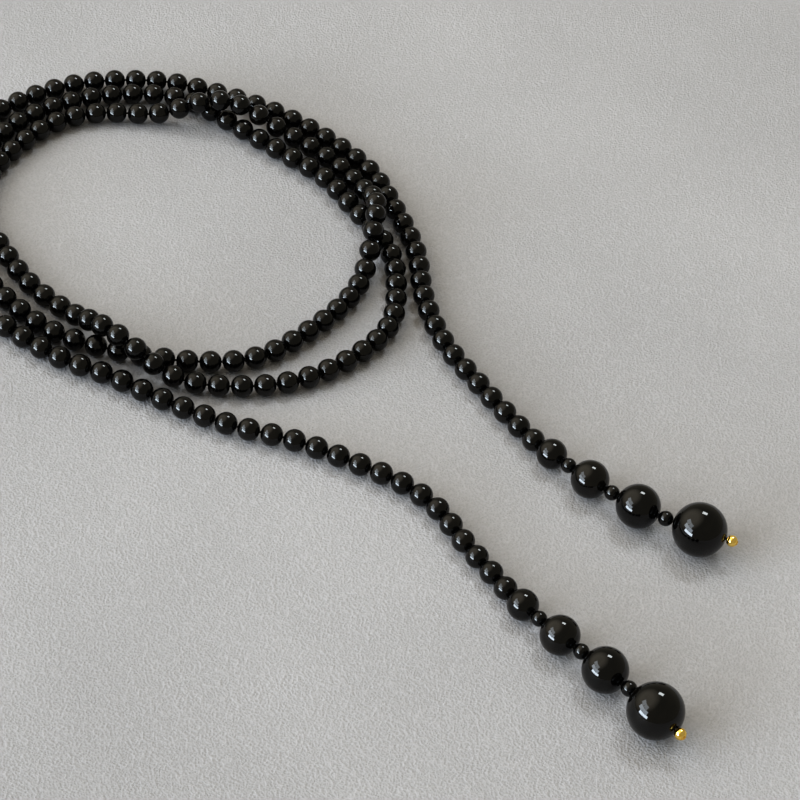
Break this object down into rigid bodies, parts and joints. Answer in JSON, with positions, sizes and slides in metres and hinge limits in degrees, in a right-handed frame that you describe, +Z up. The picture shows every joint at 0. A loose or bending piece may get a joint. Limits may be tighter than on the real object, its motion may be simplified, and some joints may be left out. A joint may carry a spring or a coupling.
{
  "type": "bead strand",
  "caption": "Open-ended strand of polished black stone beads on a cord, laid in a loose coil with two free tails that end in larger beads and a gold tip ball.",
  "frame": {"origin": "middle of the strand's box on the surface it lies on", "axes": "+Z up from the surface, +X towards the side where both tails end, +Y away from the lower tail across the coil"},
  "size_m": [0.2324, 0.2192, 0.014],
  "materials": {
    "strand_stone": "polished",
    "spacer_stone": "polished",
    "large_stone": "polished",
    "cord": "waxed thread",
    "gold_ball": "polished gold plate",
    "crimp": "satin"
  },
  "bodies": {
    "coil": {"coil_beads_01": "strand_stone", "coil_beads_02": "strand_stone", "coil_beads_03": "strand_stone", "coil_beads_04": "strand_stone", "coil_beads_05": "strand_stone", "coil_beads_06": "strand_stone", "coil_beads_07": "strand_stone", "coil_beads_08": "strand_stone", "coil_beads_09": "strand_stone", "coil_beads_10": "strand_stone", "coil_beads_11": "strand_stone", "coil_beads_12": "strand_stone", "coil_beads_13": "strand_stone", "coil_beads_14": "strand_stone", "cord_coil": "cord"},
    "tail_a_link_1": {"tail_a_beads_1": "strand_stone", "cord_tail_a_1": "cord"},
    "tail_a_link_2": {"tail_a_beads_2": "strand_stone", "cord_tail_a_2": "cord"},
    "tail_a_link_3": {"tail_a_beads_3": "strand_stone", "cord_tail_a_3": "cord"},
    "tail_a_link_4": {"tail_a_beads_4": "strand_stone", "cord_tail_a_4": "cord"},
    "tail_a_link_5": {"tail_a_beads_5": "strand_stone", "cord_tail_a_5": "cord"},
    "end_a_link_1": {"cord_end_a_1": "cord"},
    "bead_8mm_a_spinner": {"bead_8mm_a": "large_stone"},
    "end_a_link_2": {"cord_end_a_2": "cord"},
    "spacer_inner_a_spinner": {"spacer_inner_a": "spacer_stone"},
    "bead_10mm_a_spinner": {"bead_10mm_a": "large_stone"},
    "end_a_link_3": {"cord_end_a_3": "cord"},
    "spacer_middle_a_spinner": {"spacer_middle_a": "spacer_stone"},
    "bead_12mm_a_spinner": {"bead_12mm_a": "large_stone"},
    "end_a_link_4": {"cord_end_a_4": "cord", "tip_ball_a": "gold_ball", "tip_crimp_a": "crimp"},
    "spacer_outer_a_spinner": {"spacer_outer_a": "spacer_stone"},
    "bead_14mm_a_spinner": {"bead_14mm_a": "large_stone"},
    "tail_b_link_1": {"tail_b_beads_1": "strand_stone", "cord_tail_b_1": "cord"},
    "tail_b_link_2": {"tail_b_beads_2": "strand_stone", "cord_tail_b_2": "cord"},
    "tail_b_link_3": {"tail_b_beads_3": "strand_stone", "cord_tail_b_3": "cord"},
    "end_b_link_1": {"cord_end_b_1": "cord"},
    "bead_8mm_b_spinner": {"bead_8mm_b": "large_stone"},
    "end_b_link_2": {"cord_end_b_2": "cord"},
    "spacer_inner_b_spinner": {"spacer_inner_b": "spacer_stone"},
    "bead_10mm_b_spinner": {"bead_10mm_b": "large_stone"},
    "end_b_link_3": {"cord_end_b_3": "cord"},
    "spacer_middle_b_spinner": {"spacer_middle_b": "spacer_stone"},
    "bead_12mm_b_spinner": {"bead_12mm_b": "large_stone"},
    "end_b_link_4": {"cord_end_b_4": "cord", "tip_ball_b": "gold_ball", "tip_crimp_b": "crimp"},
    "spacer_outer_b_spinner": {"spacer_outer_b": "spacer_stone"},
    "bead_14mm_b_spinner": {"bead_14mm_b": "large_stone"}
  },
  "joints": [
    {"name": "tail_a_bend_1", "type": "hinge", "parent": "coil", "child": "tail_a_link_1", "pos_m": [-0.03737, -0.02346, 0.003], "axis": [0, 0, 1], "range_deg": [-12, 12]},
    {"name": "tail_a_bend_2", "type": "hinge", "parent": "tail_a_link_1", "child": "tail_a_link_2", "pos_m": [-0.01377, -0.02955, 0.003], "axis": [0, 0, -1], "range_deg": [-12, 12]},
    {"name": "tail_a_bend_3", "type": "hinge", "parent": "tail_a_link_2", "child": "tail_a_link_3", "pos_m": [0.01037, -0.03262, 0.003], "axis": [0, 0, 1], "range_deg": [-12, 12]},
    {"name": "tail_a_bend_4", "type": "hinge", "parent": "tail_a_link_3", "child": "tail_a_link_4", "pos_m": [0.0335, -0.04024, 0.003], "axis": [0, 0, -1], "range_deg": [-12, 12]},
    {"name": "tail_a_bend_5", "type": "hinge", "parent": "tail_a_link_4", "child": "tail_a_link_5", "pos_m": [0.05053, -0.0574, 0.003], "axis": [0, 0, 1], "range_deg": [-12, 12]},
    {"name": "end_a_bend_1", "type": "hinge", "parent": "tail_a_link_5", "child": "end_a_link_1", "pos_m": [0.06287, -0.07089, 0.0035], "axis": [0, 0, -1], "range_deg": [-12, 12]},
    {"name": "bead_8mm_a_spin", "type": "hinge", "parent": "end_a_link_1", "child": "bead_8mm_a_spinner", "pos_m": [0.06574, -0.07371, 0.004], "axis": [-0.708, 0.6953, -0.1235], "continuous": true},
    {"name": "end_a_bend_2", "type": "hinge", "parent": "end_a_link_1", "child": "end_a_link_2", "pos_m": [0.0686, -0.07652, 0.0045], "axis": [0, 0, 1], "range_deg": [-12, 12]},
    {"name": "spacer_inner_a_spin", "type": "hinge", "parent": "end_a_link_2", "child": "spacer_inner_a_spinner", "pos_m": [0.07017, -0.07784, 0.00462], "axis": [-0.7636, 0.6428, -0.061], "continuous": true},
    {"name": "bead_10mm_a_spin", "type": "hinge", "parent": "end_a_link_2", "child": "bead_10mm_a_spinner", "pos_m": [0.07572, -0.08226, 0.005], "axis": [-0.788, 0.6137, -0.0495], "continuous": true},
    {"name": "end_a_bend_3", "type": "hinge", "parent": "end_a_link_2", "child": "end_a_link_3", "pos_m": [0.07969, -0.08536, 0.00525], "axis": [0, 0, -1], "range_deg": [-12, 12]},
    {"name": "spacer_middle_a_spin", "type": "hinge", "parent": "end_a_link_3", "child": "spacer_middle_a_spinner", "pos_m": [0.08135, -0.08656, 0.00537], "axis": [-0.8063, 0.5884, -0.061], "continuous": true},
    {"name": "bead_12mm_a_spin", "type": "hinge", "parent": "end_a_link_3", "child": "bead_12mm_a_spinner", "pos_m": [0.08756, -0.09135, 0.00575], "axis": [-0.7854, 0.6174, -0.0431], "continuous": true},
    {"name": "end_a_bend_4", "type": "hinge", "parent": "end_a_link_3", "child": "end_a_link_4", "pos_m": [0.09211, -0.09493, 0.006], "axis": [0, 0, 1], "range_deg": [-12, 12]},
    {"name": "spacer_outer_a_spin", "type": "hinge", "parent": "end_a_link_4", "child": "spacer_outer_a_spinner", "pos_m": [0.09367, -0.09624, 0.00625], "axis": [-0.7604, 0.6379, -0.122], "continuous": true},
    {"name": "bead_14mm_a_spin", "type": "hinge", "parent": "end_a_link_4", "child": "bead_14mm_a_spinner", "pos_m": [0.10043, -0.10228, 0.007], "axis": [-0.7379, 0.6711, -0.0709], "continuous": true},
    {"name": "tail_b_bend_1", "type": "hinge", "parent": "coil", "child": "tail_b_link_1", "pos_m": [0.02667, 0.0304, 0.003], "axis": [0, 0, 1], "range_deg": [-12, 12]},
    {"name": "tail_b_bend_2", "type": "hinge", "parent": "tail_b_link_1", "child": "tail_b_link_2", "pos_m": [0.03878, 0.00936, 0.003], "axis": [0, 0, -1], "range_deg": [-12, 12]},
    {"name": "tail_b_bend_3", "type": "hinge", "parent": "tail_b_link_2", "child": "tail_b_link_3", "pos_m": [0.05098, -0.00428, 0.003], "axis": [0, 0, 1], "range_deg": [-12, 12]},
    {"name": "end_b_bend_1", "type": "hinge", "parent": "tail_b_link_3", "child": "end_b_link_1", "pos_m": [0.06376, -0.01734, 0.0035], "axis": [0, 0, -1], "range_deg": [-12, 12]},
    {"name": "bead_8mm_b_spin", "type": "hinge", "parent": "end_b_link_1", "child": "bead_8mm_b_spinner", "pos_m": [0.06685, -0.01992, 0.004], "axis": [0.762, -0.6358, 0.1235], "continuous": true},
    {"name": "end_b_bend_2", "type": "hinge", "parent": "end_b_link_1", "child": "end_b_link_2", "pos_m": [0.06993, -0.02249, 0.0045], "axis": [0, 0, 1], "range_deg": [-12, 12]},
    {"name": "spacer_inner_b_spin", "type": "hinge", "parent": "end_b_link_2", "child": "spacer_inner_b_spinner", "pos_m": [0.07159, -0.02369, 0.00462], "axis": [0.8099, -0.5833, 0.061], "continuous": true},
    {"name": "bead_10mm_b_spin", "type": "hinge", "parent": "end_b_link_2", "child": "bead_10mm_b_spinner", "pos_m": [0.07748, -0.02763, 0.005], "axis": [0.8377, -0.5439, 0.0495], "continuous": true},
    {"name": "end_b_bend_3", "type": "hinge", "parent": "end_b_link_2", "child": "end_b_link_3", "pos_m": [0.08171, -0.03038, 0.00525], "axis": [0, 0, -1], "range_deg": [-12, 12]},
    {"name": "spacer_middle_b_spin", "type": "hinge", "parent": "end_b_link_3", "child": "spacer_middle_b_spinner", "pos_m": [0.08347, -0.03143, 0.00537], "axis": [0.8551, -0.5149, 0.061], "continuous": true},
    {"name": "bead_12mm_b_spin", "type": "hinge", "parent": "end_b_link_3", "child": "bead_12mm_b_spinner", "pos_m": [0.09049, -0.0349, 0.00575], "axis": [0.9082, -0.4162, 0.0431], "continuous": true},
    {"name": "end_b_bend_4", "type": "hinge", "parent": "end_b_link_3", "child": "end_b_link_4", "pos_m": [0.09576, -0.03732, 0.006], "axis": [0, 0, 1], "range_deg": [-12, 12]},
    {"name": "spacer_outer_b_spin", "type": "hinge", "parent": "end_b_link_4", "child": "spacer_outer_b_spinner", "pos_m": [0.09768, -0.03798, 0.00625], "axis": [0.9389, -0.3219, 0.122], "continuous": true},
    {"name": "bead_14mm_b_spin", "type": "hinge", "parent": "end_b_link_4", "child": "bead_14mm_b_spinner", "pos_m": [0.10639, -0.04047, 0.007], "axis": [0.9629, -0.2605, 0.0709], "continuous": true}
  ]
}
